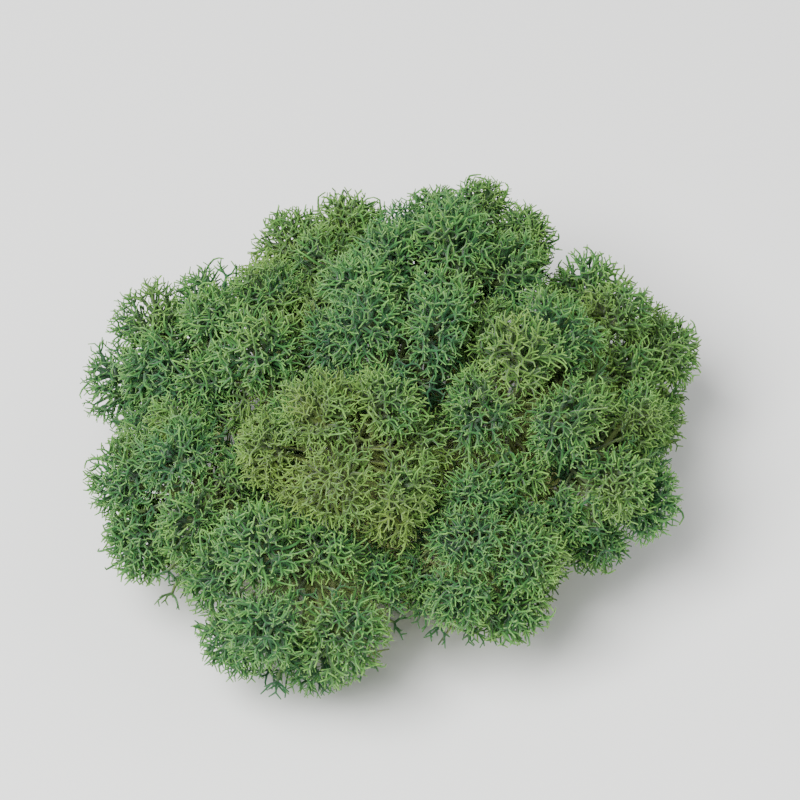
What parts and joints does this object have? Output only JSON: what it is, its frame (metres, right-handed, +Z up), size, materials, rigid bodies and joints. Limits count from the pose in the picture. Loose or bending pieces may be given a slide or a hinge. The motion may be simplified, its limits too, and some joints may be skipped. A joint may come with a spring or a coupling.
{
  "type": "reindeer moss clump",
  "caption": "Free-standing clump of green reindeer moss: lobed crowns of fine forked tips pressed together on bunches of thin pale stems, used as dry craft or terrarium moss.",
  "frame": {"origin": "foot of the middle plant's main stem, in the plane that the stems' feet stand on", "axes": "+X along the clump's long way, +Y along its width, +Z up from the feet to the crowns"},
  "size_m": [0.09, 0.0763, 0.0481],
  "materials": {
    "dyed_lichen": "matt dyed lichen"
  },
  "bodies": {
    "root": {"plant_01": "dyed_lichen", "plant_02": "dyed_lichen", "plant_03": "dyed_lichen", "plant_04": "dyed_lichen", "plant_05": "dyed_lichen", "plant_06": "dyed_lichen", "plant_07": "dyed_lichen", "plant_08": "dyed_lichen", "plant_09": "dyed_lichen", "plant_10": "dyed_lichen", "plant_11": "dyed_lichen", "plant_12": "dyed_lichen", "plant_13": "dyed_lichen"}
  },
  "joints": []
}
